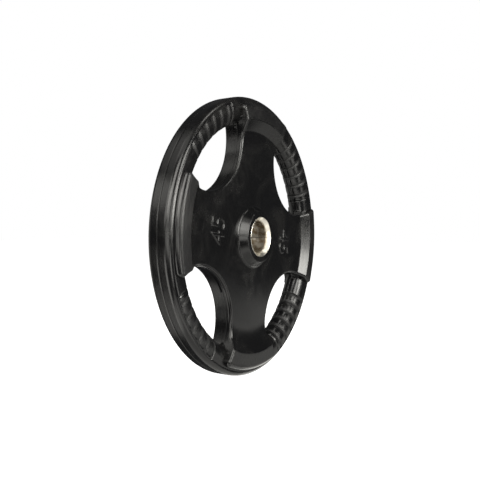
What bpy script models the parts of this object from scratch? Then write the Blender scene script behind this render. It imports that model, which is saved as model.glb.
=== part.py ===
"""Rubber coated weight plate with four hand grips, a cast core and a flared steel sleeve.

Metres, +Z up. The plate is upright, as on a bar: its bore runs along Y and its front faces -Y.
The origin is on the bore's axis, halfway between the front and the rear face.
Each piece is drawn in the plate's own frame: its Z is the height above the parting plane,
towards the front, and its +X is the middle of the right-hand spoke.
"""

import math

import bmesh
import bpy
from mathutils import Vector

# Overall sizes
PLATE_DIAMETER = 0.445
BORE_DIAMETER = 0.051
FACE_LEVEL = 0.0285            # front pads and hub, above the parting plane
RIM_THICKNESS = 0.0396
FIT_GAP = 0.0003               # clearance between neighbouring pieces

# Rim and hand grips
GRIP_WIDTH = 0.0415            # across the rim, from tread to window
SHOULDER_ROUNDING = 0.0094
GRIP_ROUNDING = 0.0262         # from the window, the face rises over this as an ellipse
FINGER_COUNT = 5
FINGER_PITCH = 6.0             # degrees round the plate
FINGER_GROOVE = 0.0022
GROOVE_KEPT = 0.7              # share of a groove's depth left where it nears the shoulder

# Front web between hub and ramps
WEB_LEVEL = 0.0153
WEB_FLAT_RADIUS = 0.145        # flat as far out as this, then sweeping up
RAMP_FOOT_LEVEL = 0.0183

# Windows, each on a circle centred on the diagonal between two spokes
WINDOW_CENTRE_RADIUS = 0.1994  # from the axis to the middle of that circle
LIP_RADIUS = 0.0868            # edge of the raised front round a window
LIP_ROUNDING = 0.0045
LIP_FOOT_LEVEL = 0.0055
LIP_UNDERCUT = 0.0016
LIP_OVERHANG = 0.0035          # from the lip back to the wall below it
WINDOW_FILLET = 0.007

# Raised pads at the ends of the spokes
PAD_LEDGE = 0.0105             # from the tread to the pad's outer wall
PAD_WIDTH = 0.026
RAMP_WIDTH = 0.018
PAD_CORNER = 0.008

# Hub
HUB_BASE_DIAMETER = 0.099
HUB_TOP_DIAMETER = 0.0832
HUB_EDGE = 0.0012

# Rear face
REAR_RECESS = 0.001            # the web lies this far below the rim
REAR_EDGE_ROUNDING = 0.004
REAR_WEB_REACH = 0.0095        # the web runs this far over the grips
REAR_WEB_FILLET = 0.012
REAR_HUB_DIAMETER = 0.086

# Steel sleeve
SLEEVE_WALL = 0.003
FLARE_DEPTH = 0.007
FLARE_REACH = 0.0055
FLARE_LIP = 0.0015
SEAM_GAP = 0.0012
SEAM_ANGLE = 2.8               # degrees from the right-hand spoke

# Cast iron core
CORE_THICKNESS = 0.0262
CORE_CHAMFER = 0.005
SPOKE_STEP = 0.0015            # from the core's ring down to its spokes
TREAD_COVER = 0.0085           # rubber outside the core's ring
GRIP_COVER = 0.0145            # rubber inside the core's ring
WALL_COVER = 0.0065            # rubber on the window walls
CORE_HUB_DIAMETER = 0.074
CORE_HUB_COVER = 0.0087        # from the face to the top of the core's hub

# Facets
PAD_FACET = 4.2                # degrees round the tread, at the pads
PAD_FACETS = 10
CLOCKING = -1.5 * PAD_FACET    # turned this far seen from the front, so a flat facet is lowest
SMOOTH_FACETS = 3              # from a pad to the first finger
FINGER_FACETS = 4
ARC_STEPS = 4
GRIP_STEPS = 6
CORNER_STEPS = 3
WINDOW_STEPS = 6
SWEEP_STEPS = 2
HUB_FACETS = 48
CORE_FACETS = 72

# Worked out from the sizes above
PLATE_RADIUS = PLATE_DIAMETER / 2
BORE_RADIUS = BORE_DIAMETER / 2
RIM_LEVEL = RIM_THICKNESS / 2
GRIP_INNER = PLATE_RADIUS - GRIP_WIDTH
PAD_OUTER = PLATE_RADIUS - PAD_LEDGE
PAD_INNER = PAD_OUTER - PAD_WIDTH
RAMP_INNER = PAD_INNER - RAMP_WIDTH
WALL_RADIUS = LIP_RADIUS + LIP_OVERHANG
REAR_WEB_LEVEL = RIM_LEVEL - REAR_RECESS
PART_LEVEL = FIT_GAP / 2       # each cover stops this far from the parting plane
SLEEVE_RADIUS = BORE_RADIUS + SLEEVE_WALL
FLARE_RADIUS = BORE_RADIUS + FLARE_REACH + FLARE_LIP
CORE_WINDOW_RADIUS = WALL_RADIUS + WALL_COVER
CORE_LEVEL = CORE_THICKNESS / 2
CORE_OUTER = PLATE_RADIUS - TREAD_COVER
CORE_INNER = GRIP_INNER + GRIP_COVER
DIAGONAL = math.pi / 4
FACING_HUB = DIAGONAL + math.pi    # on a window's circle, the point nearest the hub


def clear_scene():
    for obj in list(bpy.data.objects):
        bpy.data.objects.remove(obj, do_unlink=True)


def material(name, colour, roughness, metallic=0.0):
    made = bpy.data.materials.new(name)
    made.use_nodes = True
    shader = made.node_tree.nodes["Principled BSDF"]
    shader.inputs["Base Color"].default_value = (*colour, 1.0)
    shader.inputs["Roughness"].default_value = roughness
    shader.inputs["Metallic"].default_value = metallic
    made.diffuse_color = (*colour, 1.0)
    return made


def add_object(name, points, faces):
    """An object from points and faces, with its faces turned to point out."""
    mesh = bpy.data.meshes.new(name)
    shape = bmesh.new()
    verts = [shape.verts.new(point) for point in points]
    for face in faces:
        shape.faces.new([verts[index] for index in face])
    bmesh.ops.recalc_face_normals(shape, faces=shape.faces[:])
    shape.to_mesh(mesh)
    shape.free()
    obj = bpy.data.objects.new(name, mesh)
    bpy.context.scene.collection.objects.link(obj)
    return obj


def as_helper(obj):
    obj.hide_render = True
    obj.display_type = "WIRE"
    return obj


def combine(obj, other, operation, solver="EXACT"):
    boolean = obj.modifiers.new(f"{operation.lower()} {other.name}", "BOOLEAN")
    boolean.operation = operation
    boolean.solver = solver
    boolean.object = as_helper(other)


def closed_grid(rows):
    """Faces over rows of points that close both along the row and from the last row to the first."""
    count = len(rows[0])
    faces = []
    for i in range(len(rows)):
        below = (i + 1) % len(rows)
        for j in range(count):
            right = (j + 1) % count
            faces.append((i * count + j, i * count + right, below * count + right, below * count + j))
    return [point for row in rows for point in row], faces


def turned(name, profile, facets=HUB_FACETS):
    """A ring turned about the plate's axis from a closed profile of (radius, level)."""
    rows = []
    for radius, level in profile:
        angles = [2 * math.pi * k / facets for k in range(facets)]
        rows.append([(radius * math.cos(a), radius * math.sin(a), level) for a in angles])
    return add_object(name, *closed_grid(rows))


def side_faces(rows, count):
    """Faces between rows of count points, each row closed into a loop."""
    faces = []
    for i in range(rows - 1):
        for k in range(count):
            right = (k + 1) % count
            faces.append((i * count + k, i * count + right, (i + 1) * count + right, (i + 1) * count + k))
    return faces


def capped(name, rows):
    """A solid over rows of points, each row closed into a loop, with a flat face at either end."""
    count = len(rows[0])
    faces = side_faces(len(rows), count)
    faces.append(tuple(range(count)))
    faces.append(tuple(range((len(rows) - 1) * count, len(rows) * count)))
    return add_object(name, [point for row in rows for point in row], faces)


def turned_disc(name, profile, facets=HUB_FACETS):
    """A solid turned from an open profile of (radius, level)."""
    rows = []
    for radius, level in profile:
        angles = [2 * math.pi * k / facets for k in range(facets)]
        rows.append([(radius * math.cos(a), radius * math.sin(a), level) for a in angles])
    return capped(name, rows)


def prism(name, outline, bottom, top, rounding=0.0):
    """An upright solid on an outline of (x, y, inward x, inward y), its top edge rounded."""
    rows = [[(x, y, bottom) for x, y, _, _ in outline]]
    steps = ARC_STEPS if rounding else 0
    for k in range(steps + 1):
        turn = math.pi / 2 * k / max(steps, 1)
        inset = rounding * (1 - math.cos(turn))
        level = top - rounding * (1 - math.sin(turn))
        rows.append([(*shifted(edge, inset), level) for edge in outline])
    return capped(name, rows)


def ring_point(radius, angle):
    return Vector((radius * math.cos(angle), radius * math.sin(angle)))


def arc(centre, radius, start, end, steps, side):
    """Points of an arc, short of its end, as (x, y, inward x, inward y); side is 1 with material outside."""
    edges = []
    for k in range(steps):
        angle = start + (end - start) * k / steps
        point = centre + ring_point(radius, angle)
        edges.append((point.x, point.y, side * math.cos(angle), side * math.sin(angle)))
    return edges


def shifted(edge, inset):
    x, y, nx, ny = edge
    return (x + nx * inset, y + ny * inset)


def window_middle():
    return ring_point(WINDOW_CENTRE_RADIUS, DIAGONAL)


def window_turn(radius, window_radius):
    """How far round a window's circle, from its point nearest the hub, it meets a circle about the axis."""
    squares = WINDOW_CENTRE_RADIUS**2 + window_radius**2 - radius**2
    return math.acos(squares / (2 * WINDOW_CENTRE_RADIUS * window_radius))


def corner_middle(from_window, from_axis):
    """The centre of a corner rounding, at set distances from the window's middle and the plate's axis."""
    squares = WINDOW_CENTRE_RADIUS**2 + from_axis**2 - from_window**2
    return ring_point(from_axis, DIAGONAL - math.acos(squares / (2 * WINDOW_CENTRE_RADIUS * from_axis)))


def angle_of(vector):
    return math.atan2(vector.y, vector.x)


def all_round(half, middle):
    """Half a spoke's outline, from a diagonal to the spoke's middle, mirrored and set four times round."""
    mirrored = [(x, -y, nx, -ny) for x, y, nx, ny in reversed(half[1:])]
    outline = []
    for quarter in range(4):
        c = round(math.cos(quarter * math.pi / 2))
        s = -round(math.sin(quarter * math.pi / 2))
        for x, y, nx, ny in half + [middle] + mirrored:
            outline.append((x * c - y * s, x * s + y * c, nx * c - ny * s, nx * s + ny * c))
    return outline


def sweep_radii():
    """Radii of the ridge lines across a spoke's front: the web's sweep, the ramp's foot and its head."""
    step = (RAMP_INNER - WEB_FLAT_RADIUS) / SWEEP_STEPS
    return [WEB_FLAT_RADIUS + step * k for k in range(SWEEP_STEPS + 1)] + [PAD_INNER]


def raised_outline():
    """The edge of the raised front: round the windows, then round the ends of the pads."""
    window = window_middle()
    corner = corner_middle(LIP_RADIUS + PAD_CORNER, PAD_OUTER - PAD_CORNER)
    leave = angle_of(corner - window) + 2 * math.pi
    turns = [window_turn(radius, LIP_RADIUS + LIP_ROUNDING) for radius in sweep_radii()]
    half = arc(window, LIP_RADIUS, FACING_HUB, FACING_HUB + turns[0], WINDOW_STEPS, 1)
    for k in range(SWEEP_STEPS + 1):
        half += arc(window, LIP_RADIUS, FACING_HUB + turns[k], FACING_HUB + turns[k + 1], 1, 1)
    half += arc(window, LIP_RADIUS, FACING_HUB + turns[-1], leave, 1, 1)
    half += arc(corner, PAD_CORNER, leave - math.pi, angle_of(corner), CORNER_STEPS, -1)
    half += arc(Vector((0, 0)), PAD_OUTER, angle_of(corner), 0, PAD_FACETS // 2, -1)
    return all_round(half, (PAD_OUTER, 0.0, -1.0, 0.0))


def wall_outline(reach, meets, fillet, outer):
    """Spokes between window walls, filleted to the circle that they meet and carried on inside the rim."""
    window = window_middle()
    corner = corner_middle(reach - fillet, meets - fillet)
    leave = angle_of(corner - window) + 2 * math.pi
    end = angle_of(corner)
    half = arc(window, reach, FACING_HUB, leave, WINDOW_STEPS + SWEEP_STEPS, 1)
    half += arc(corner, fillet, leave, end + 2 * math.pi, CORNER_STEPS, 1)
    meeting = ring_point(meets, end)
    half.append((meeting.x, meeting.y, math.cos(end), math.sin(end)))
    for k in range(PAD_FACETS // 2):
        point = ring_point(outer, end * (1 - 2 * k / PAD_FACETS))
        half.append((point.x, point.y, 0.0, 0.0))
    return all_round(half, (outer, 0.0, 0.0, 0.0))


def rim_angles():
    """Degrees round one quarter of the rim, close together over the fingers."""
    pad_half = PAD_FACET * PAD_FACETS / 2
    fingers_start = 45 - FINGER_PITCH * FINGER_COUNT / 2
    angles = [-pad_half + PAD_FACET * k for k in range(PAD_FACETS)]
    smooth = (fingers_start - pad_half) / SMOOTH_FACETS
    angles += [pad_half + smooth * k for k in range(SMOOTH_FACETS)]
    finger_facets = FINGER_COUNT * FINGER_FACETS
    angles += [fingers_start + FINGER_PITCH / FINGER_FACETS * k for k in range(finger_facets)]
    angles += [90 - fingers_start + smooth * k for k in range(SMOOTH_FACETS)]
    return angles


def groove_share(angle):
    """How deep the grooves between the fingers are at this angle, from 0 to 1."""
    fingers_start = 45 - FINGER_PITCH * FINGER_COUNT / 2
    place = (angle - fingers_start) / FINGER_PITCH
    if place < -1e-6 or place > FINGER_COUNT + 1e-6:
        return 0.0
    return 1 - math.sqrt(abs(math.sin(math.pi * place)))


def rim_section(depth):
    """(radius, level) round one cover's half of the rim, the grip's face sunk by depth."""
    shoulder = PLATE_RADIUS - SHOULDER_ROUNDING
    points = [(PLATE_RADIUS, PART_LEVEL)]
    for k in range(ARC_STEPS + 1):
        a = math.pi / 2 * k / ARC_STEPS
        radius = shoulder + SHOULDER_ROUNDING * math.cos(a)
        points.append((radius, RIM_LEVEL - SHOULDER_ROUNDING * (1 - math.sin(a))))
    points.append((shoulder - SHOULDER_ROUNDING / 2, RIM_LEVEL - depth * GROOVE_KEPT))
    centre = GRIP_INNER + GRIP_ROUNDING
    for k in range(GRIP_STEPS + 1):
        a = math.pi / 2 * (1 + k / GRIP_STEPS)
        rise = RIM_LEVEL - PART_LEVEL - depth
        points.append((centre + (GRIP_ROUNDING - depth) * math.cos(a), PART_LEVEL + rise * math.sin(a)))
    return points


def rim_half(name, side):
    """One cover's half of the rim; side is 1 for the front and -1 for the rear."""
    columns = []
    for quarter in range(4):
        for angle in rim_angles():
            a = math.radians(angle + 90 * quarter)
            section = rim_section(FINGER_GROOVE * groove_share(angle))
            columns.append([(r * math.cos(a), r * math.sin(a), side * level) for r, level in section])
    return add_object(name, *closed_grid(columns))


def face_level(radius):
    """Level of the raised front at a radius: flat web, sweep, ramp, then pad."""
    if radius > RAMP_INNER:
        share = min((radius - RAMP_INNER) / RAMP_WIDTH, 1.0)
        return RAMP_FOOT_LEVEL + share * (FACE_LEVEL - RAMP_FOOT_LEVEL)
    share = max(radius - WEB_FLAT_RADIUS, 0.0) / (RAMP_INNER - WEB_FLAT_RADIUS)
    return WEB_LEVEL + share**2 * (RAMP_FOOT_LEVEL - WEB_LEVEL)


def raised_front(name):
    """The front web with its rounded lip, its ramps and its four pads, as one solid."""
    outline = raised_outline()
    count = len(outline)
    points = [(*shifted(edge, LIP_UNDERCUT), LIP_FOOT_LEVEL) for edge in outline]
    points += [(*shifted(edge, 0.0), LIP_FOOT_LEVEL + LIP_UNDERCUT) for edge in outline]
    for k in range(ARC_STEPS + 1):
        turn = math.pi / 2 * k / ARC_STEPS
        inset = LIP_ROUNDING * (1 - math.cos(turn))
        drop = LIP_ROUNDING * (1 - math.sin(turn))
        for edge in outline:
            level = face_level(math.hypot(*shifted(edge, LIP_ROUNDING)))
            points.append((*shifted(edge, inset), level - drop))
    faces = [tuple(range(count))] + side_faces(ARC_STEPS + 3, count)
    top = (ARC_STEPS + 2) * count
    web = []
    for quarter in range(4):
        first = quarter * count // 4
        beyond = (quarter + 1) * count // 4
        ridges = []
        for k, radius in enumerate(sweep_radii()):
            near = top + first + WINDOW_STEPS + k
            far = top + beyond - WINDOW_STEPS - k
            start = math.atan2(points[near][1], points[near][0])
            sweep = (math.atan2(points[far][1], points[far][0]) - start) % (2 * math.pi) - 2 * math.pi
            ridge = [near]
            for j in range(1, PAD_FACETS):
                point = ring_point(radius, start + sweep * j / PAD_FACETS)
                ridge.append(len(points))
                points.append((point.x, point.y, face_level(radius)))
            ridges.append(ridge + [far])
        for foot, head in zip(ridges, ridges[1:]):
            faces += [(foot[j], foot[j + 1], head[j + 1], head[j]) for j in range(PAD_FACETS)]
        faces.append(tuple(range(ridges[-1][0], ridges[-1][-1] + 1)) + tuple(ridges[-1][-2:0:-1]))
        web += range(top + first, ridges[0][0])
        web += ridges[0]
        web += range(ridges[0][-1] + 1, top + beyond)
    faces.append(tuple(web))
    return add_object(name, points, faces)


def hub_boss(name):
    """The rubber round the sleeve's front end, coned from inside the web to its flat face."""
    base, top = HUB_BASE_DIAMETER / 2, HUB_TOP_DIAMETER / 2
    rise = FACE_LEVEL - HUB_EDGE - WEB_LEVEL
    buried = base + (base - top)
    profile = [(buried, WEB_LEVEL - rise), (top, WEB_LEVEL + rise), (top - HUB_EDGE, FACE_LEVEL)]
    return turned_disc(name, profile)


def rear_hub(name):
    radius = REAR_HUB_DIAMETER / 2
    profile = [(radius, -CORE_LEVEL), (radius, HUB_EDGE - RIM_LEVEL), (radius - HUB_EDGE, -RIM_LEVEL)]
    return turned_disc(name, profile)


def sleeve_space(name, grow):
    """Everything inside the sleeve's outer surface, grown by a clearance."""
    radius, flare = SLEEVE_RADIUS + grow, FLARE_RADIUS + grow
    slope = FLARE_DEPTH * (FLARE_RADIUS - SLEEVE_RADIUS) / FLARE_REACH
    profile = []
    for level, way in ((FACE_LEVEL, 1), (-RIM_LEVEL, -1)):
        end = [(flare, level + way * SLEEVE_WALL), (flare, level - way * (FLARE_LIP + grow))]
        end.append((radius, level - way * (FLARE_LIP + grow + slope)))
        profile += end if way > 0 else end[::-1]
    return turned_disc(name, profile)


def steel_sleeve():
    """A rolled tube flared at both ends, open along its seam."""
    slope = FLARE_DEPTH * (FLARE_RADIUS - SLEEVE_RADIUS) / FLARE_REACH
    lip = BORE_RADIUS + FLARE_REACH
    front = [(BORE_RADIUS, FACE_LEVEL - FLARE_DEPTH), (lip, FACE_LEVEL), (FLARE_RADIUS, FACE_LEVEL)]
    front += [(FLARE_RADIUS, FACE_LEVEL - FLARE_LIP), (SLEEVE_RADIUS, FACE_LEVEL - FLARE_LIP - slope)]
    rear = [(SLEEVE_RADIUS, FLARE_LIP + slope - RIM_LEVEL), (FLARE_RADIUS, FLARE_LIP - RIM_LEVEL)]
    rear += [(FLARE_RADIUS, -RIM_LEVEL), (lip, -RIM_LEVEL), (BORE_RADIUS, FLARE_DEPTH - RIM_LEVEL)]
    sleeve = turned("steel_sleeve", front + rear)
    reach = FLARE_RADIUS * 2
    half = SEAM_GAP / 2
    corners = [(0.0, -half), (reach, -half), (reach, half), (0.0, half)]
    turn = math.radians(SEAM_ANGLE)
    c, s = math.cos(turn), math.sin(turn)
    slot = [(x * c - y * s, x * s + y * c, 0.0, 0.0) for x, y in corners]
    seam = prism("seam_slot", slot, -RIM_LEVEL - SLEEVE_WALL, FACE_LEVEL + SLEEVE_WALL)
    combine(sleeve, seam, "DIFFERENCE")
    return sleeve


def core_shape(name, grow):
    """The casting's ring, spokes and hub, grown by a clearance, before its bore is cut."""
    outer, inner = CORE_OUTER + grow, CORE_INNER - grow
    level, cut = CORE_LEVEL + grow, CORE_CHAMFER
    profile = [(outer, cut - level), (outer, level - cut), (outer - cut, level), (inner + cut, level)]
    profile += [(inner, level - cut), (inner, cut - level), (inner + cut, -level), (outer - cut, -level)]
    core = turned(name, profile, CORE_FACETS)
    fillet = WINDOW_FILLET - grow
    outline = wall_outline(CORE_WINDOW_RADIUS - grow, inner, fillet, (CORE_OUTER + CORE_INNER) / 2)
    spokes = prism(name + "_spokes", outline, SPOKE_STEP - level, level - SPOKE_STEP)
    hub_radius = CORE_HUB_DIAMETER / 2 + grow
    hub_top = FACE_LEVEL - CORE_HUB_COVER + grow
    hub = turned_disc(name + "_hub", [(hub_radius, -CORE_LEVEL / 2), (hub_radius, hub_top)])
    combine(core, spokes, "UNION")
    combine(core, hub, "UNION")
    return core


def join_moulding(cover, part):
    """Joins a part whose flat faces or corners lie on the rim's, where EXACT fails at some sizes."""
    combine(cover, part, "UNION", "MANIFOLD")


def spoke_walls(name, meets, fillet, bottom, top, rounding=0.0):
    outline = wall_outline(WALL_RADIUS, meets, fillet, (PAD_INNER + PAD_OUTER) / 2)
    return prism(name, outline, bottom, top, rounding)


def front_cover(core_space, sleeve_space):
    cover = rim_half("front_cover", 1)
    top = LIP_FOOT_LEVEL + 2 * LIP_UNDERCUT
    walls = spoke_walls("front_walls", GRIP_INNER, WINDOW_FILLET, PART_LEVEL, top)
    join_moulding(cover, walls)
    join_moulding(cover, raised_front("front_raised"))
    combine(cover, hub_boss("front_boss"), "UNION")
    combine(cover, sleeve_space, "DIFFERENCE")
    combine(cover, core_space, "DIFFERENCE")
    return cover


def rear_cover(core_space, sleeve_space):
    cover = rim_half("rear_cover", -1)
    reach = GRIP_INNER + REAR_WEB_REACH
    walls = spoke_walls("rear_walls", reach, REAR_WEB_FILLET, PART_LEVEL, REAR_WEB_LEVEL, REAR_EDGE_ROUNDING)
    walls.rotation_euler.x = math.pi
    join_moulding(cover, walls)
    combine(cover, rear_hub("rear_boss"), "UNION")
    combine(cover, sleeve_space, "DIFFERENCE")
    combine(cover, core_space, "DIFFERENCE")
    return cover


def iron_core(sleeve_space):
    core = core_shape("iron_core", 0.0)
    combine(core, sleeve_space, "DIFFERENCE")
    return core


def stand_up(pieces):
    """Stands every piece upright about one axis through the middle of the plate's thickness."""
    axis = bpy.data.objects.new("bore_axis", None)
    bpy.context.scene.collection.objects.link(axis)
    axis.location = (0.0, (FACE_LEVEL - RIM_LEVEL) / 2, 0.0)
    axis.rotation_euler = (math.pi / 2, -math.radians(CLOCKING), 0.0)
    for piece in pieces:
        piece.parent = axis


def finish(obj, surface):
    obj.data.materials.append(surface)
    obj.data.shade_smooth()
    obj.data.set_sharp_from_angle(angle=math.radians(30))


def main():
    clear_scene()
    rubber = material("black_rubber", (0.012, 0.012, 0.013), 0.35)
    iron = material("cast_iron", (0.09, 0.085, 0.08), 0.7, 0.6)
    steel = material("bare_steel", (0.72, 0.68, 0.6), 0.3, 1.0)
    sleeve_cut = sleeve_space("sleeve_space", FIT_GAP)
    core_cut = core_shape("core_space", FIT_GAP)
    finish(front_cover(core_cut, sleeve_cut), rubber)
    finish(rear_cover(core_cut, sleeve_cut), rubber)
    finish(iron_core(sleeve_cut), iron)
    finish(steel_sleeve(), steel)
    stand_up([obj for obj in bpy.data.objects if obj.type == "MESH"])


main()
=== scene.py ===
import math

import bmesh
import bpy
import numpy as np
from mathutils import Matrix, Vector


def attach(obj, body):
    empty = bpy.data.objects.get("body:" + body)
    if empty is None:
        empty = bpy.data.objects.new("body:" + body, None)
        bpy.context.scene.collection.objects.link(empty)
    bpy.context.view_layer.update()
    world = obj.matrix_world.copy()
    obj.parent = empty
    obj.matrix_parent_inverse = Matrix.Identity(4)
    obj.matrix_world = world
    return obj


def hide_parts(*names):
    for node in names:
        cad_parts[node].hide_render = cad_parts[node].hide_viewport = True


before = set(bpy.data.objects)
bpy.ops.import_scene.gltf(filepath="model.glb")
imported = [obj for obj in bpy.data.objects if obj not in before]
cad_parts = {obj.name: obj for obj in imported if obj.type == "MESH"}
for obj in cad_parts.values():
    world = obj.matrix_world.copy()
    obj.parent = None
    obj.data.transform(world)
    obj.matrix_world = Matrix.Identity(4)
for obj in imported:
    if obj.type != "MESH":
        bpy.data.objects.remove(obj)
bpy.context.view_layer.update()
print("frame loaded:", ", ".join(sorted(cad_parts)))

# Everything is drawn in the plate's own frame, in metres, with z as height above the parting plane,
# and then stood up with its front towards -Y
stance = {
    "turn": 6.3,               # degrees round the bore
    "partingY": 0.00435,       # the parting plane lies this far behind the middle
    "sharpAngle": 25,          # edges bent by more than this many degrees stay sharp
}
standUp = (Matrix.Translation((0, stance["partingY"], 0))
           @ Matrix.Rotation(math.radians(stance["turn"]), 4, "Y") @ Matrix.Rotation(math.pi / 2, 4, "X"))
diagonal = math.pi / 4
facingHub = diagonal + math.pi
gap = 0.0003                   # between pieces that meet


def addObject(name, data):
    obj = bpy.data.objects.new(name, data)
    bpy.context.scene.collection.objects.link(obj)
    return obj


def addMesh(name, points, faces):
    mesh = bpy.data.meshes.new(name)
    mesh.from_pydata([tuple(map(float, p)) for p in points], [], faces)
    shape = bmesh.new()
    shape.from_mesh(mesh)
    bmesh.ops.recalc_face_normals(shape, faces=shape.faces[:])
    shape.to_mesh(mesh)
    shape.free()
    return addObject(name, mesh)


def loops(rows, count, closed=False):
    # quads between rows of count points, each row closed into a ring
    faces = []
    for i in range(rows if closed else rows - 1):
        here, below = i * count, (i + 1) % rows * count
        for k in range(count):
            beside = (k + 1) % count
            faces.append((here + k, here + beside, below + beside, below + k))
    return faces


def capped(rows, count):
    # the same, with a face over the first row and one over the last
    last = (rows - 1) * count
    return loops(rows, count) + [tuple(range(count)), tuple(range(last, last + count))]


def lathe(name, profile, facets):
    # a solid turned from an open profile of (radius, level)
    turns = [2 * math.pi * k / facets for k in range(facets)]
    points = [(r * math.cos(a), r * math.sin(a), z) for r, z in profile for a in turns]
    return addMesh(name, points, capped(len(profile), facets))


def combine(obj, other, operation):
    change = obj.modifiers.new(operation.lower() + " " + other.name, "BOOLEAN")
    change.operation = operation
    change.object = other
    change.solver = "MANIFOLD"


def settle(obj, helpers):
    # keeps what the modifiers made, and clears away the helpers
    graph = bpy.context.evaluated_depsgraph_get()
    mesh = bpy.data.meshes.new_from_object(obj.evaluated_get(graph))
    obj.modifiers.clear()
    obj.data = mesh
    mesh.name = obj.name
    for helper in helpers:
        bpy.data.objects.remove(helper, do_unlink=True)


def stand(obj):
    obj.data.transform(standUp)
    obj.data.shade_smooth()
    obj.data.set_sharp_from_angle(angle=math.radians(stance["sharpAngle"]))


def ringPoint(radius, angle):
    return Vector((radius * math.cos(angle), radius * math.sin(angle)))


def angleOf(point):
    return math.atan2(point.y, point.x)


def arc(centre, radius, start, end, steps, side):
    # (x, y, inward x, inward y) round an arc, short of its end
    edges = []
    for k in range(steps):
        angle = start + (end - start) * k / steps
        point = centre + ringPoint(radius, angle)
        edges.append((point.x, point.y, side * math.cos(angle), side * math.sin(angle)))
    return edges


def allRound(half, middle):
    # half a spoke's outline and its middle point, mirrored and set four times round
    mirrored = [(x, -y, nx, -ny) for x, y, nx, ny in reversed(half[1:])]
    outline = []
    for quarter in range(4):
        c, s = round(math.cos(quarter * math.pi / 2)), -round(math.sin(quarter * math.pi / 2))
        for x, y, nx, ny in half + [middle] + mirrored:
            outline.append((x * c - y * s, x * s + y * c, nx * c - ny * s, nx * s + ny * c))
    return outline


def soften(t):
    # 0 to 1 with a gentle start and end
    t = np.clip(t, 0, 1)
    return t * t * (3 - 2 * t)


# Rim: one half, with the grips' fingers between the spokes

rim = {
    "outer": 0.2223,
    "inner": 0.181,
    "half": 0.0198,            # parting plane to face
    "seam": 0.0005,            # softening along the parting line
    "shoulder": 0.0094,        # rounding from the tread to the face
    "gripRounding": 0.0262,    # the face falls away to the window over this, as an ellipse
    "fingers": [26.6, 30, 36, 42, 48, 54, 60],   # grooves beside the fingers, in degrees past each spoke
    "groove": 0.0017,          # depth by the window
    "grooveAtShoulder": 0.0012,
    "grooveStart": -0.004,     # distances along the face, inwards from the shoulder's top
    "grooveRise": 0.003,
    "deepenStart": 0.012,
    "deepenRun": 0.012,
    "grooveSide": 0.4,         # degrees, beyond the first and the last groove
    "tipStart": -0.002,        # rounded tips of the fingers
    "tipLength": 0.013,
}


def fingerDepth(angle, along):
    # how far the grip's face is sunk: fingers with round tips between narrow grooves
    edges = rim["fingers"]
    deepen = soften((along - rim["deepenStart"]) / rim["deepenRun"])
    valley = rim["grooveAtShoulder"] + (rim["groove"] - rim["grooveAtShoulder"]) * deepen
    valley = valley * soften((along - rim["grooveStart"]) / rim["grooveRise"])
    tip = np.clip((rim["tipStart"] + rim["tipLength"] - along) / rim["tipLength"], 0, None)
    depth = np.zeros(np.broadcast(angle, along).shape)
    for low, high in zip(edges, edges[1:]):
        across = (angle - (low + high) / 2) / ((high - low) / 2)
        bump = np.clip(1 - np.abs(across)**3 - tip**2, 0, 1)**0.5
        depth = np.where(np.abs(across) <= 1, valley * (1 - bump), depth)
    beyond = np.maximum(edges[0] - angle, angle - edges[-1])
    return np.where(beyond > 0, valley * (1 - soften(beyond / rim["grooveSide"])), depth)


def rimAngles():
    # degrees round one quarter, close together beside the grooves and 1.5 apart elsewhere
    near = [0, 0.07, 0.16, 0.3, 0.5, 0.8, 1.2, 1.7, 2.3, 3.0]
    clear = near[-1] + 0.05
    angles = {a for a in np.arange(0, 90, 1.5).round(3)
              if all(abs(a - groove) > clear for groove in rim["fingers"])}
    for groove in rim["fingers"]:
        others = [other for other in rim["fingers"] if other != groove]
        for step in near:
            for a in (round(groove - step, 3), round(groove + step, 3)):
                if all(abs(a - other) >= step - 1e-6 for other in others):
                    angles.add(a)
    return np.array(sorted(angles))


def rimSection():
    # rows of (radius, level, outward radius, outward level, distance inwards from the shoulder's top)
    outer, inner, half, seam = rim["outer"], rim["inner"], rim["half"], rim["seam"]
    shoulder, grip = rim["shoulder"], rim["gripRounding"]
    treadSteps, shoulderSteps, faceSteps, gripSteps = 3, 17, 7, 37
    beforeGrooves, pastGrooves = -0.03, 0.05   # distances that no groove reaches
    rows = [(outer - seam, gap / 2, 0, 0, beforeGrooves)]
    rows += [(outer - seam + seam * math.sin(a), gap / 2 + seam * (1 - math.cos(a)), 0, 0, beforeGrooves)
             for a in (0.5, 1.0, 1.57)]
    treadLevels = np.linspace(0.003, half - shoulder - 0.001, treadSteps)
    rows += [(outer, z, 0, 0, beforeGrooves) for z in treadLevels]
    for a in np.linspace(0, math.pi / 2, shoulderSteps):
        rows.append((outer - shoulder * (1 - math.cos(a)), half - shoulder * (1 - math.sin(a)),
                     math.cos(a), math.sin(a), -shoulder * (math.pi / 2 - a)))
    top, crown = outer - shoulder, inner + grip
    for step in np.linspace(0, 1, faceSteps)[1:]:
        rows.append((top + step * (crown - top), half, 0, 1, step * (top - crown)))
    low = gap / 2 + seam
    along = top - crown
    for a in np.radians(np.linspace(0, 90, gripSteps)[1:]):
        point = (crown - grip * math.sin(a), low + (half - low) * math.cos(a))
        along += math.dist(point, rows[-1][:2])
        facing = Vector((-math.sin(a) * (half - low), math.cos(a) * grip)).normalized()
        rows.append((*point, *facing, along))
    rows += [(inner + seam * (1 - math.sin(a)), gap / 2 + seam * (1 - math.cos(a)), -1, 0, pastGrooves)
             for a in (1.0, 0.5)]
    rows.append((inner + seam, gap / 2, -1, 0, pastGrooves))
    return np.array(rows, dtype=float)


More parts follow.
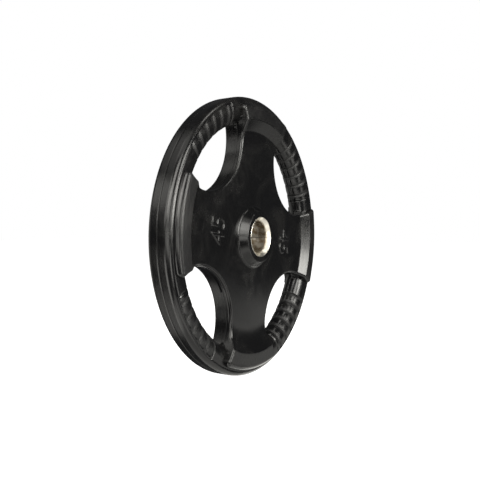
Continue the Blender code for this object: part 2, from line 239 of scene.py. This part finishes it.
def rimHalf(name, side):
    quarter = rimAngles()
    section = rimSection()
    depth = fingerDepth(quarter[:, None], section[None, :, 4])
    radius = section[None, :, 0] - section[None, :, 2] * depth
    level = section[None, :, 1] - section[None, :, 3] * depth
    points = []
    for turn in range(4):
        a = np.radians(quarter + 90 * turn)[:, None]
        points.append(np.stack([radius * np.cos(a), radius * np.sin(a), side * level], -1).reshape(-1, 3))
    return addMesh(name, np.concatenate(points), loops(4 * len(quarter), len(section), closed=True))


# Raised front: web, ramps and pads in one moulding with a rounded lip

web = {
    "level": 0.0153,
    "flatRadius": 0.145,       # flat up to here
    "footRadius": 0.168,       # the ramp's foot
    "footLevel": 0.0183,
    "headRadius": 0.186,       # the ramp's head
    "padLevel": 0.0285,
    "padOuter": 0.212,
    "padCorner": 0.008,
    "padRounding": 0.0086,     # along a pad's outer side
    "edgeSoftness": 0.0011,    # half width of the softening at the ramp's foot and head
    "windowCentre": 0.1994,    # from the bore's axis
    "lipRadius": 0.0868,
    "lipRounding": 0.0045,
    "lipFoot": 0.0055,
    "lipUndercut": 0.0016,
    "wallRadius": 0.0903,      # the window walls below the lip
    "wallFillet": 0.007,
}


def windowTurn(radius, windowRadius):
    # angle at a window's centre between the hub and where its circle crosses a radius of the plate
    d = web["windowCentre"]
    return math.acos((d**2 + windowRadius**2 - radius**2) / (2 * d * windowRadius))


def cornerMiddle(fromWindow, fromAxis):
    # the point at these distances from a window's centre and from the bore's axis
    d = web["windowCentre"]
    turn = math.acos((d**2 + fromAxis**2 - fromWindow**2) / (2 * d * fromAxis))
    return ringPoint(fromAxis, diagonal - turn)


def rawLevel(radius):
    # flat, then a gentle sweep up, then the straight ramp to the pads' level
    run = (radius - web["footRadius"]) / (web["headRadius"] - web["footRadius"])
    sweep = np.clip((radius - web["flatRadius"]) / (web["footRadius"] - web["flatRadius"]), 0, 1)
    low = web["level"] + sweep**2 * (web["footLevel"] - web["level"])
    return low + np.clip(run, 0, 1) * (web["padLevel"] - web["footLevel"])


def faceLevel(radius):
    # the same with its bends softened
    return float(rawLevel(radius + web["edgeSoftness"] * np.linspace(-1, 1, 21)).mean())


def crossingRadii():
    # where the front's level changes, close together at the ramp's foot and head
    soft = web["edgeSoftness"] * 1.3
    foot, head = web["footRadius"], web["headRadius"]
    steps = [np.linspace(web["flatRadius"] - 0.001, foot - soft, 9, endpoint=False),
             np.linspace(foot - soft, foot + soft, 7, endpoint=False),
             np.linspace(foot + soft, head - soft, 6, endpoint=False),
             np.linspace(head - soft, head + soft, 8)]
    return [float(r) for r in np.concatenate(steps)]


def raisedFront(name):
    window = ringPoint(web["windowCentre"], diagonal)
    lip, rounding, corner = web["lipRadius"], web["lipRounding"], web["padCorner"]
    middle = cornerMiddle(lip + corner, web["padOuter"] - corner)
    leave = angleOf(middle - window) + 2 * math.pi
    radii = crossingRadii()
    turns = [windowTurn(radius, lip + rounding) for radius in radii]
    windowSteps, endSteps, cornerSteps, sideSteps, across = 44, 8, 12, 16, 28
    underStart, underSteps, roundingSteps = 0.35, 5, 11
    half = arc(window, lip, facingHub, facingHub + turns[0], windowSteps, 1)
    for start, end in zip(turns, turns[1:]):
        half += arc(window, lip, facingHub + start, facingHub + end, 1, 1)
    half += arc(window, lip, facingHub + turns[-1], leave, endSteps, 1)
    alongWindow = len(half)
    half += arc(middle, corner, leave - math.pi, angleOf(middle), cornerSteps, -1)
    half += arc(Vector((0, 0)), web["padOuter"], angleOf(middle), 0, sideSteps, -1)
    outline = allRound(half, (web["padOuter"], 0.0, -1.0, 0.0))
    # the rounding grows round a pad's corner and is at its widest along the outer side
    widening = 6
    wide = np.concatenate([np.zeros(alongWindow), np.linspace(0, 0.7, cornerSteps),
                           np.linspace(0.72, 1, widening), np.ones(sideSteps - widening)])
    wide = np.tile(np.concatenate([wide, [1], wide[:0:-1]]), 4)
    roundings = rounding + soften(wide) * (web["padRounding"] - rounding)
    count = len(outline)
    foot, under = web["lipFoot"], web["lipUndercut"]
    rows = [[(x + nx * under, y + ny * under, foot) for x, y, nx, ny in outline]]
    for a in np.linspace(underStart, math.pi / 2, underSteps):
        inset, lift = under * (1 - math.sin(a)), under * (1 - math.cos(a))
        rows.append([(x + nx * inset, y + ny * inset, foot + lift) for x, y, nx, ny in outline])
    levels = [faceLevel(math.hypot(x + nx * r, y + ny * r))
              for (x, y, nx, ny), r in zip(outline, roundings)]
    for a in np.linspace(0, math.pi / 2, roundingSteps):
        inwards, down = 1 - math.cos(a), 1 - math.sin(a)
        rows.append([(x + nx * r * inwards, y + ny * r * inwards, z - r * down)
                     for (x, y, nx, ny), z, r in zip(outline, levels, roundings)])
    points = [p for row in rows for p in row]
    faces = [tuple(range(count))] + loops(len(rows), count)
    top = (len(rows) - 1) * count
    flat = []                  # the web's own face, inside the first ridges
    for quarter in range(4):
        first, beyond = quarter * count // 4, (quarter + 1) * count // 4
        ridges = []            # rows of points across the spoke
        for k, radius in enumerate(radii):
            near, far = top + first + windowSteps + k, top + beyond - windowSteps - k
            start = math.atan2(points[near][1], points[near][0])
            sweep = (math.atan2(points[far][1], points[far][0]) - start) % (2 * math.pi) - 2 * math.pi
            ridge = [near]
            for j in range(1, across):
                p = ringPoint(radius, start + sweep * j / across)
                ridge.append(len(points))
                points.append((p.x, p.y, faceLevel(radius)))
            ridges.append(ridge + [far])
        for low, high in zip(ridges, ridges[1:]):
            faces += [(low[j], low[j + 1], high[j + 1], high[j]) for j in range(across)]
        last = ridges[-1]
        faces.append(tuple(range(last[0], last[-1] + 1)) + tuple(last[-2:0:-1]))
        flat += list(range(top + first, ridges[0][0])) + ridges[0]
        flat += list(range(ridges[0][-1] + 1, top + beyond))
    faces.append(tuple(flat))
    return addMesh(name, points, faces)


def spokeWalls(name, meets, fillet, bottom, top, rounding):
    # spokes between the window walls, filleted to the circle that they meet and carried on inside the rim
    reach = web["wallRadius"]
    outer = (web["headRadius"] + web["padOuter"]) / 2
    window = ringPoint(web["windowCentre"], diagonal)
    corner = cornerMiddle(reach - fillet, meets - fillet)
    leave, end = angleOf(corner - window) + 2 * math.pi, angleOf(corner)
    wallSteps, filletSteps, insideSteps, roundingSteps = 60, 10, 6, 10
    half = arc(window, reach, facingHub, leave, wallSteps, 1)
    half += arc(corner, fillet, leave, end + 2 * math.pi, filletSteps, 1)
    meeting = ringPoint(meets, end)
    half.append((meeting.x, meeting.y, math.cos(end), math.sin(end)))
    for k in range(insideSteps):
        p = ringPoint(outer, end * (1 - k / insideSteps))
        half.append((p.x, p.y, 0.0, 0.0))
    outline = allRound(half, (outer, 0.0, 0.0, 0.0))
    rows = [[(x, y, bottom) for x, y, _, _ in outline]]
    for a in np.linspace(0, math.pi / 2, roundingSteps if rounding else 1):
        inset = rounding * (1 - math.cos(a))
        level = top - rounding * (1 - math.sin(a))
        rows.append([(x + nx * inset, y + ny * inset, level) for x, y, nx, ny in outline])
    return addMesh(name, [p for row in rows for p in row], capped(len(rows), len(outline)))


hub = {
    "baseRadius": 0.0474,
    "topRadius": 0.0416,
    "edge": 0.0017,            # softening of the top edge
    "fillet": 0.0044,          # down to the web
    "buried": (0.004, 0.0004), # depths of the foot inside the web
    "facets": 160,
}


def hubBoss(name):
    # coned side with a fillet at its base
    base, top, edge, fillet = hub["baseRadius"], hub["topRadius"], hub["edge"], hub["fillet"]
    low, high = web["level"], web["padLevel"]
    slope = math.atan2(base - top, high - low)
    filletSteps, edgeSteps = 12, 7
    profile = [(base + fillet, low - depth) for depth in hub["buried"]]
    for a in np.linspace(0, math.pi / 2 - slope, filletSteps):
        profile.append((base + fillet * (1 - math.sin(a)), low + fillet * (1 - math.cos(a))))
    for a in np.linspace(slope, math.pi / 2, edgeSteps):
        profile.append((top - edge + edge * math.cos(a), high - edge + edge * math.sin(a)))
    return lathe(name, profile, hub["facets"])


# Steel sleeve: rolled, flared at both ends, open along its seam

sleeve = {
    "bore": 0.0255,
    "wall": 0.003,
    "flare": 0.0324,           # outer radius of the flared ends
    "reach": 0.006,            # how much wider a mouth is than the bore
    "depth": 0.0066,           # of the flare
    "softness": 0.0008,        # where the flare leaves the bore
    "lip": 0.0008,             # rounding of the mouth's edge
    "lipStart": 0.2,           # angle where the rounding begins
    "shy": 0.0001,             # the ends lie this far inside the rubber's faces
    "flareBack": (0.0013, 0.0063),   # where the flare's outside leaves the rim and meets the tube
    "gap": 0.0011,             # the open seam
    "seamAtMouth": 0.04,       # share of the gap at the front mouth
    "seamTaper": 0.012,        # and how deep it is full
    "seamAngle": 2.8,
    "turns": 180,
}


def flareRadius(depth):
    # a cone, softened where it leaves the bore
    near = np.clip(1 - (depth + sleeve["softness"] * np.linspace(-1, 1, 15)) / sleeve["depth"], 0, 1)
    return sleeve["bore"] + sleeve["reach"] * float(near.mean())


def sleeveProfile():
    bore, wall, flare, lip = (sleeve[k] for k in ("bore", "wall", "flare", "lip"))
    front, back = web["padLevel"] - sleeve["shy"], -rim["half"] + sleeve["shy"]
    edge, foot = sleeve["flareBack"]
    flareSteps, lipSteps = 14, 6
    ends = []
    for level, way in ((front, 1), (back, -1)):
        end = [(flareRadius(depth), level - way * depth)
               for depth in np.linspace(sleeve["depth"] + sleeve["softness"], lip / 2, flareSteps)]
        end += [(flare - lip + lip * math.sin(a), level - way * lip * (1 - math.cos(a)))
                for a in np.linspace(sleeve["lipStart"], math.pi / 2, lipSteps)]
        end += [(flare, level - way * edge), (bore + wall, level - way * foot)]
        ends.append(end)
    return ends[0] + ends[1][::-1]


def steelSleeve(name):
    profile = sleeveProfile()
    turns = sleeve["turns"]
    seam = math.radians(sleeve["seamAngle"])
    columns = []
    for k in range(turns + 1):
        column = []
        for r, z in profile:
            depth = min(1.0, (web["padLevel"] - z) / sleeve["seamTaper"])
            half = sleeve["gap"] / 2 * (sleeve["seamAtMouth"] + (1 - sleeve["seamAtMouth"]) * depth**2) / r
            a = seam + half + (2 * math.pi - 2 * half) * k / turns
            column.append((r * math.cos(a), r * math.sin(a), z))
        columns.append(column)
    return addMesh(name, [p for column in columns for p in column], capped(turns + 1, len(profile)))


# Spaces in the rubber for the sleeve and the iron

def sleeveSpace(name):
    radius, flare = sleeve["bore"] + sleeve["wall"] + gap, sleeve["flare"] + gap
    past, straight, facets = 0.003, 0.0015, 128
    profile = []
    for level, way in ((web["padLevel"], 1), (-rim["half"], -1)):
        end = [(flare, level + way * past), (flare, level - way * straight),
               (radius, level - way * sleeve["depth"])]
        profile += end if way > 0 else end[::-1]
    return lathe(name, profile, facets)


def coreSpace(name):
    # the iron core's own shape, a gap larger, back in the plate's frame
    shape = bmesh.new()
    shape.from_mesh(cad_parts["iron_core"].data)
    bmesh.ops.remove_doubles(shape, verts=shape.verts[:], dist=1e-6)
    bmesh.ops.recalc_face_normals(shape, faces=shape.faces[:])
    shape.normal_update()
    moves = [v.normal * gap for v in shape.verts]
    for v, move in zip(shape.verts, moves):
        v.co += move
    bmesh.ops.transform(shape, matrix=standUp.inverted(), verts=shape.verts[:])
    mesh = bpy.data.meshes.new(name)
    shape.to_mesh(mesh)
    shape.free()
    return addObject(name, mesh)


coreCut = coreSpace("coreCut")
sleeveCut = sleeveSpace("sleeveCut")

frontRubber = rimHalf("frontRubber", 1)
wallTop = web["lipFoot"] + 2 * web["lipUndercut"]
frontParts = [spokeWalls("frontWalls", rim["inner"], web["wallFillet"], gap / 2, wallTop, 0),
              raisedFront("frontRaised"), hubBoss("frontBoss")]
for part in frontParts:
    combine(frontRubber, part, "UNION")
combine(frontRubber, sleeveCut, "DIFFERENCE")
combine(frontRubber, coreCut, "DIFFERENCE")
settle(frontRubber, frontParts)
print("front rubber:", len(frontRubber.data.polygons), "faces")

# Rear rubber: a flat web just below the rim, and a flat hub level with it

rear = {
    "webLevel": 0.0188,
    "rounding": 0.004,         # along the windows
    "webReach": 0.1905,
    "webFillet": 0.012,
    "hubRadius": 0.043,
    "hubEdge": 0.0014,
    "hubFoot": 0.012,          # the boss starts this deep in the web
    "facets": 128,
}
rearRubber = rimHalf("rearRubber", -1)
rearWalls = spokeWalls("rearWalls", rear["webReach"], rear["webFillet"], gap / 2, rear["webLevel"],
                       rear["rounding"])
rearWalls.data.transform(Matrix.Rotation(math.pi, 4, "X"))
rearEdge = [(rear["hubRadius"] - rear["hubEdge"] * (1 - math.cos(a)),
             -rim["half"] + rear["hubEdge"] * (1 - math.sin(a))) for a in np.linspace(0, math.pi / 2, 7)]
rearBoss = lathe("rearBoss", [(rear["hubRadius"], -rear["hubFoot"])] + rearEdge, rear["facets"])
for part in (rearWalls, rearBoss):
    combine(rearRubber, part, "UNION")
combine(rearRubber, sleeveCut, "DIFFERENCE")
combine(rearRubber, coreCut, "DIFFERENCE")
settle(rearRubber, [rearWalls, rearBoss, coreCut, sleeveCut])
print("rear rubber:", len(rearRubber.data.polygons), "faces")

sleeveTube = steelSleeve("sleeveTube")

# Raised numerals on the left and right spokes

numerals = {
    "text": "45",
    "height": 0.037,
    "width": 0.043,
    "radius": 0.105,           # their middle, from the bore's axis
    "size": 0.051,
    "proud": 0.0001,
    "bevel": 0.0023,           # round strokes
    "bevelSteps": 3,
    "thicken": -0.0012,
    "sunk": 0.0006,
}


def raisedNumerals(name, side):
    text = bpy.data.curves.new(name, "FONT")
    text.body = numerals["text"]
    text.size = numerals["size"]
    text.align_x, text.align_y = "CENTER", "CENTER"
    text.extrude = numerals["proud"]
    text.bevel_depth = numerals["bevel"]
    text.bevel_resolution = numerals["bevelSteps"]
    text.offset = numerals["thicken"]
    source = addObject(name + "Text", text)
    mesh = bpy.data.meshes.new_from_object(source.evaluated_get(bpy.context.evaluated_depsgraph_get()))
    bpy.data.objects.remove(source, do_unlink=True)
    low = Vector(map(min, *(v.co for v in mesh.vertices)))
    high = Vector(map(max, *(v.co for v in mesh.vertices)))
    size = high - low
    fit = Matrix.Diagonal((numerals["width"] / size.x, numerals["height"] / size.y, 1, 1))
    turn = Matrix.Rotation(-side * math.pi / 2, 4, "Z")
    place = Matrix.Translation((side * numerals["radius"], 0, web["level"] - numerals["sunk"]))
    mesh.transform(place @ turn @ fit @ Matrix.Translation(-(low + high) / 2))
    return addObject(name, mesh)


leftNumerals = raisedNumerals("leftNumerals", -1)
rightNumerals = raisedNumerals("rightNumerals", 1)
for piece in (frontRubber, rearRubber, sleeveTube, leftNumerals, rightNumerals):
    stand(piece)
print("sleeve and numerals made")


# Materials

class Wire:
    # a node's output that can be used like a number
    def __init__(self, tree, socket):
        self.tree = tree
        self.socket = socket

    def make(self, kind, settings=None, inputs=None, output=0):
        node = self.tree.nodes.new(kind)
        for key, value in (settings or {}).items():
            setattr(node, key, value)
        for key, value in (inputs or {}).items():
            if isinstance(value, Wire):
                self.tree.links.new(value.socket, node.inputs[key])
            else:
                node.inputs[key].default_value = value
        return Wire(self.tree, node.outputs[output])

    def calc(self, operation, *others):
        # a Math node that takes this wire first
        return self.make("ShaderNodeMath", {"operation": operation}, dict(enumerate((self, *others))))

    def __add__(self, other):
        return self.calc("ADD", other)

    def __sub__(self, other):
        return self.calc("SUBTRACT", other)

    def __rsub__(self, other):
        return self.make("ShaderNodeMath", {"operation": "SUBTRACT"}, {0: other, 1: self})

    def __mul__(self, other):
        return self.calc("MULTIPLY", other)

    def __truediv__(self, other):
        return self.calc("DIVIDE", other)

    __radd__ = __add__
    __rmul__ = __mul__

    def parts(self):
        # x, y and z of a vector
        apart = self.make("ShaderNodeSeparateXYZ", None, {0: self})
        return [Wire(self.tree, socket) for socket in apart.socket.node.outputs]

    def between(self, low, high):
        # rises smoothly from 0 at low to 1 at high
        return self.make("ShaderNodeMapRange", {"interpolation_type": "SMOOTHSTEP"},
                         {"Value": self, "From Min": low, "From Max": high})

    def within(self, start, end):
        # 1 between two soft edges and 0 beyond them
        return self.between(*start) * (1 - self.between(*end))

    def blend(self, first, second):
        # mixes two colours with this wire as the factor
        return self.make("ShaderNodeMix", {"data_type": "RGBA"}, {0: self, 6: first, 7: second}, 2)

    def noise(self, scale, detail=3.0, roughness=0.55, distortion=0.0, stretch=None):
        # noise at this place, or at this place stretched
        place = self
        if stretch:
            place = self.make("ShaderNodeVectorMath", {"operation": "MULTIPLY"}, {0: self, 1: stretch})
        return self.make("ShaderNodeTexNoise", None, {"Vector": place, "Scale": scale, "Detail": detail,
                                                      "Roughness": roughness, "Distortion": distortion})

    def relief(self, strength, distance):
        # a bumpy surface with this wire as its height
        return self.make("ShaderNodeBump", None,
                         {"Strength": strength, "Distance": distance, "Height": self})


def newMaterial(name, **fixed):
    made = bpy.data.materials.new(name)
    made.use_nodes = True
    shader = made.node_tree.nodes["Principled BSDF"]
    for key, value in fixed.items():
        shader.inputs[key].default_value = value
    return made, shader


def placeOn(made):
    # where a point lies on the object
    return Wire(made.node_tree, made.node_tree.nodes.new("ShaderNodeTexCoord").outputs["Object"])


def connect(shader, colour, rough, bump):
    for key, wire in (("Base Color", colour), ("Roughness", rough), ("Normal", bump)):
        wire.tree.links.new(wire.socket, shader.inputs[key])


rubberLook = {   # pairs are soft edges, from nothing to full
    "dark": (0.0022, 0.0022, 0.0026, 1),
    "light": (0.0095, 0.0092, 0.0088, 1),
    "roughness": 0.15,
    "padTop": (-0.0222, -0.0236),                   # y of the pads' grain
    "padInner": (0.184, 0.187),                     # and its radius
    "grain": 340.0,
    "firstGroove": 30.0,                            # degrees past each spoke, as in the rim
    "pitch": 6.0,
    "gripInner": (0.1785, 0.181),
    "grooveSpan": ((26.2, 27), (60, 60.8)),         # degrees past each spoke
    "grooveEnd": (0.2115, 0.2145),
    "fingerTop": ((0.12, 0.3), (0.7, 0.88)),        # shares of a finger's pitch
    "stripe": 0.42,                                 # degrees from one fine stripe to the next
    "stripeSpan": ((26.7, 27.2), (59.4, 59.9)),
    "stripeShare": ((0.04, 0.1), (0.45, 0.55)),
    "stripeEnd": (0.208, 0.2115),
}


def rubberMaterial():
    look = rubberLook
    made, shader = newMaterial("mouldedRubber")
    at = placeOn(made)
    x, y, z = at.parts()
    radius = (x * x + z * z).calc("SQRT")
    cloud = at.noise(22, detail=4)
    smudge = at.noise(16, detail=6, roughness=0.62, distortion=0.8).between(0.44, 0.68)
    grit = at.noise(1500, detail=2)
    streak = at.noise(60, stretch=(1.0, 9.0, 1.0))
    # leather-like grain on the pad tops
    onPad = y.between(*look["padTop"]) * radius.between(*look["padInner"])
    cells = at.make("ShaderNodeTexVoronoi", {"feature": "SMOOTH_F1"},
                    {"Vector": at, "Scale": look["grain"], "Randomness": 1.0})
    # duller grooves between the fingers, and fine stripes on the first half of each finger
    turned = z.calc("ARCTAN2", x) * (180 / math.pi) + (360 + stance["turn"])
    local = turned.calc("MODULO", 90.0)
    finger = ((local - look["firstGroove"]) / look["pitch"]).calc("FRACT")
    groove = (1 - finger.within(*look["fingerTop"])) * local.within(*look["grooveSpan"])
    groove = groove * radius.within(look["gripInner"], look["grooveEnd"])
    striped = finger.within(*look["stripeShare"]) * local.within(*look["stripeSpan"])
    striped = striped * radius.within(look["gripInner"], look["stripeEnd"])
    wave = (local * math.radians(360 / look["stripe"])).calc("SINE")
    height = grit * 0.08 + cloud * 0.1 + cells * onPad * 1.5 + wave * striped * 0.16
    colour = (smudge * 0.7 + grit * 0.25).blend(look["dark"], look["light"])
    rough = look["roughness"] + 0.08 * cloud + 0.08 * smudge + 0.1 * streak
    rough = rough + 0.14 * onPad + 0.28 * groove - 0.06 * grit
    connect(shader, colour, rough, height.relief(0.35, 0.0004))
    return made


steelLook = {
    "clean": (0.86, 0.82, 0.73, 1),
    "aged": (0.18, 0.135, 0.085, 1),
    "roughness": 0.27,
    "mouth": (0.0258, 0.0275),        # radius where the aged bore ends and where the clean flare starts
}


def steelMaterial():
    look = steelLook
    made, shader = newMaterial("rolledSteel", Metallic=1.0)
    at = placeOn(made)
    x, y, z = at.parts()
    radius = (x * x + z * z).calc("SQRT")
    patch = at.noise(90, detail=5, roughness=0.6)
    drawn = at.noise(400, stretch=(1.0, 0.06, 1.0))
    inside = 1 - radius.between(*look["mouth"])
    aged = inside * (0.5 + 0.5 * patch.between(0.35, 0.65)) + (1 - inside) * patch.between(0.6, 0.8) * 0.2
    colour = aged.blend(look["clean"], look["aged"])
    rough = look["roughness"] + 0.15 * aged + 0.1 * drawn
    connect(shader, colour, rough, (drawn + patch * 0.6).relief(0.2, 0.0002))
    return made


ironLook = {
    "dark": (0.045, 0.043, 0.042, 1),
    "light": (0.13, 0.12, 0.11, 1),
    "rust": (0.16, 0.06, 0.025, 1),
    "roughness": 0.55,
}


def ironMaterial():
    look = ironLook
    made, shader = newMaterial("sandCastIron", Metallic=0.75)
    at = placeOn(made)
    sand = at.noise(700, detail=4, roughness=0.65)
    scale = at.noise(35, detail=4)
    rust = scale.between(0.58, 0.72) * 0.5
    colour = rust.blend(sand.between(0.3, 0.7).blend(look["dark"], look["light"]), look["rust"])
    rough = look["roughness"] + 0.25 * sand + 0.15 * rust
    connect(shader, colour, rough, (sand + scale * 0.5).relief(0.5, 0.0006))
    return made


def dress(obj, surface):
    obj.data.materials.clear()
    obj.data.materials.append(surface)


rubber = rubberMaterial()
for piece in (frontRubber, rearRubber, leftNumerals, rightNumerals):
    dress(piece, rubber)
dress(sleeveTube, steelMaterial())
iron = ironMaterial()
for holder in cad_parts["iron_core"].material_slots:
    holder.material = iron
print("materials made")

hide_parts("front_cover")
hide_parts("rear_cover")
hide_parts("steel_sleeve")
for piece in (frontRubber, rearRubber, leftNumerals, rightNumerals):
    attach(piece, "root")
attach(sleeveTube, "root")

# Studio: pale floor, soft lights, camera at the photograph's angle

studio = {
    "floorZ": -0.2226,
    "floorReach": 6,
    "floor": (0.9, 0.9, 0.9, 1),
    "floorRoughness": 0.9,
    "white": (1, 1, 1, 1),
    "room": (0.95, 0.97, 1.0, 1),     # what the plate sees between the lights
    "roomStrength": 0.05,
    "cameraAt": (-0.7680, -0.4645, 0.0239),
    "cameraTurn": (88.13, 0.0, -57.94),
    "lens": 41.18,
    "sensor": 36,
    "nearest": 0.01,
    "distance": 1.5,                  # of each light, from the bore
    "lightColour": (1.0, 0.985, 0.93),
    "lights": [   # name, degrees round from the front, degrees up, size across and up, power
        ("frontBox", 15.5, 10.5, (0.4, 0.36), 7.5),
        ("frontMiddleBox", -4, 13, (0.34, 0.46), 6.0),
        ("frontHighBox", 0, 32, (0.53, 0.42), 6.0),
        ("frontRightBox", 28, 12, (0.48, 0.42), 1.3),
        ("frontRightLow", 28, -15, (0.48, 0.42), 1.3),
        ("frontLeftBox", -28, 12, (0.42, 0.42), 2.0),
        ("frontLeftLow", -28, -15, (0.42, 0.42), 2.5),
        ("cameraBox", -58, 18, (0.48, 0.48), 3.3),
        ("cameraLow", -55, -3, (0.7, 0.4), 2.6),
        ("cameraHighBox", -58, 38, (0.65, 0.65), 7.6),
        ("leftBox", -80, 24, (0.6, 0.5), 6.6),
        ("leftLow", -80, 0, (0.48, 0.42), 1.5),
        ("backLeftBox", -108, 24, (0.55, 0.8), 4.4),
        ("backLeftLow", -108, -28, (0.6, 0.9), 5.5),
        ("backBox", -135, 26, (0.53, 0.42), 1.1),
        ("backHighBox", -140, 50, (1.0, 0.6), 0.85),
        ("backLeftFloor", -142, -44, (0.9, 0.7), 1.2),
        ("topBox", -90, 65, (1.73, 0.53), 3.0),
        ("topFrontBox", 25, 60, (0.42, 0.28), 1.7),
        ("rearPanel", 180, -4, (2.2, 1.2), 4.0),
        ("floorLeft", -100, -55, (1.4, 0.53), 2.5),
        ("floorFront", -20, -42, (1.4, 0.53), 2.4),
        ("floorFarRight", 60, -22, (1.4, 0.5), 1.2),
        ("floorBehind", 100, -40, (1.09, 0.53), 3.4),
        ("floorBelow", -10, -80, (2.6, 2.4), 14.0),
    ],
}


def areaLight(name, around, up, size, power):
    # the low ones stand for the light that a pale floor throws back
    lamp = bpy.data.lights.new(name, "AREA")
    lamp.shape = "RECTANGLE"
    lamp.size, lamp.size_y = size
    lamp.energy = power
    lamp.color = studio["lightColour"]
    around, up = math.radians(around), math.radians(up)
    level = math.cos(up)
    direction = Vector((level * math.sin(around), -level * math.cos(around), math.sin(up)))
    obj = addObject(name, lamp)
    obj.location = direction * studio["distance"]
    obj.rotation_euler = direction.to_track_quat("Z", "Y").to_euler()


for light in studio["lights"]:
    areaLight(*light)

reach = studio["floorReach"]
corners = [(x * reach, y * reach, studio["floorZ"]) for x, y in ((-1, -1), (1, -1), (1, 1), (-1, 1))]
floor = addMesh("paleFloor", corners, [(0, 1, 2, 3)])
paint = {"Base Color": studio["floor"], "Roughness": studio["floorRoughness"],
         "Emission Color": studio["white"], "Emission Strength": 1.0}
dress(floor, newMaterial("paleFloorPaint", **paint)[0])
floor.visible_glossy = False
floor.visible_diffuse = False

# the camera sees a white wall, and the plate a dim room
world = bpy.data.worlds.new("studioWorld")
bpy.context.scene.world = world
world.use_nodes = True
tree = world.node_tree
tree.nodes.clear()
output = tree.nodes.new("ShaderNodeOutputWorld")
seen = Wire(tree, tree.nodes.new("ShaderNodeLightPath").outputs["Is Camera Ray"])
room = seen.make("ShaderNodeBackground", None,
                 {"Color": studio["room"], "Strength": studio["roomStrength"]})
wall = seen.make("ShaderNodeBackground", None, {"Color": studio["white"], "Strength": 1.0})
mixed = seen.make("ShaderNodeMixShader", None, {0: seen, 1: room, 2: wall})
tree.links.new(mixed.socket, output.inputs["Surface"])

camera = addObject("photoCamera", bpy.data.cameras.new("photoCamera"))
camera.data.sensor_width = studio["sensor"]
camera.data.lens = studio["lens"]
camera.data.clip_start = studio["nearest"]
camera.location = studio["cameraAt"]
camera.rotation_euler = [math.radians(a) for a in studio["cameraTurn"]]
bpy.context.scene.camera = camera
bpy.context.scene.view_settings.view_transform = "Standard"
print("studio ready")
